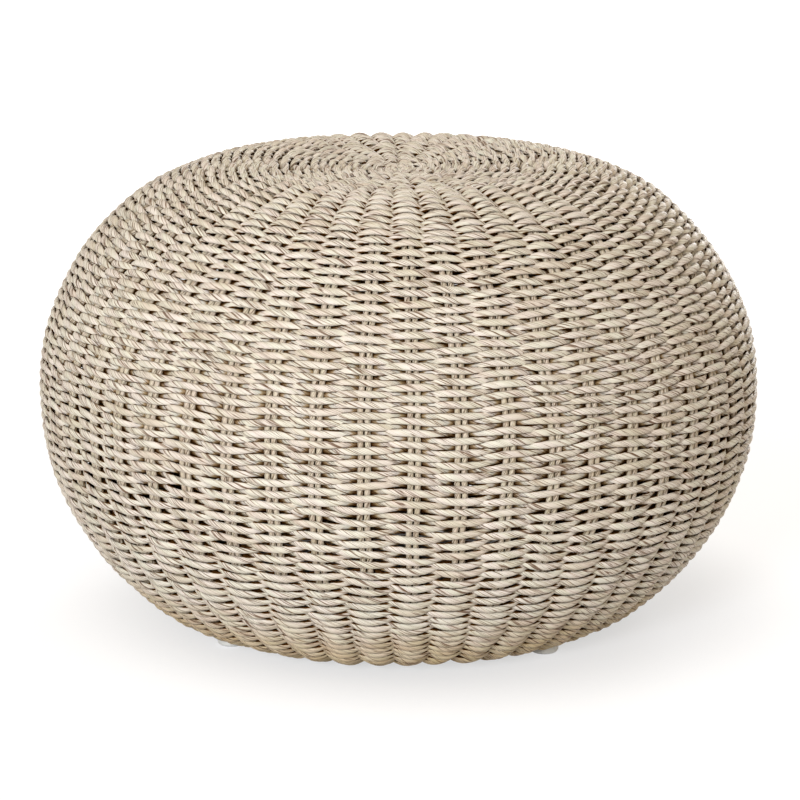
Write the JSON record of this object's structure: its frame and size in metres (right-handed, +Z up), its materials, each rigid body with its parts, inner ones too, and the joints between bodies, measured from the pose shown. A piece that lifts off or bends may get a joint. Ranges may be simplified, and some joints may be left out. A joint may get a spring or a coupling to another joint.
{
  "type": "ottoman",
  "caption": "Round woven outdoor ottoman and footstool: an oblate cord-woven skin over a hidden frame of bent tube, standing on small plastic glides.",
  "frame": {"origin": "on the floor under the middle of the seat, at the underside of the glides", "axes": "+Z up along the axis of the round body; +X and +Y along the seat's crossing bars, with the glides on the diagonals between them"},
  "size_m": [0.6084, 0.6101, 0.3859],
  "materials": {
    "woven_resin": "natural beige twisted cord, closely woven, dull",
    "frame_tube": "satin powder coat on bent aluminium tube",
    "glide_plastic": "milky grey moulded plastic",
    "screw_steel": "plain stainless steel"
  },
  "bodies": {
    "root": {"woven_seat": "woven_resin", "woven_shoulder": "woven_resin", "woven_waist": "woven_resin", "woven_base": "woven_resin", "woven_border": "woven_resin", "seat_ring": "frame_tube", "waist_ring": "frame_tube", "base_ring": "frame_tube", "upper_rib_1": "frame_tube", "upper_rib_2": "frame_tube", "upper_rib_3": "frame_tube", "upper_rib_4": "frame_tube", "upper_rib_5": "frame_tube", "upper_rib_6": "frame_tube", "upper_rib_7": "frame_tube", "upper_rib_8": "frame_tube", "lower_rib_1": "frame_tube", "lower_rib_2": "frame_tube", "lower_rib_3": "frame_tube", "lower_rib_4": "frame_tube", "lower_rib_5": "frame_tube", "lower_rib_6": "frame_tube", "lower_rib_7": "frame_tube", "lower_rib_8": "frame_tube", "seat_cross_bar": "frame_tube", "seat_half_bar_1": "frame_tube", "seat_half_bar_2": "frame_tube", "foot_boss_1": "frame_tube", "foot_boss_2": "frame_tube", "foot_boss_3": "frame_tube", "foot_boss_4": "frame_tube", "glide_1": "glide_plastic", "glide_2": "glide_plastic", "glide_3": "glide_plastic", "glide_4": "glide_plastic", "glide_screw_1": "screw_steel", "glide_screw_2": "screw_steel", "glide_screw_3": "screw_steel", "glide_screw_4": "screw_steel"}
  },
  "joints": []
}
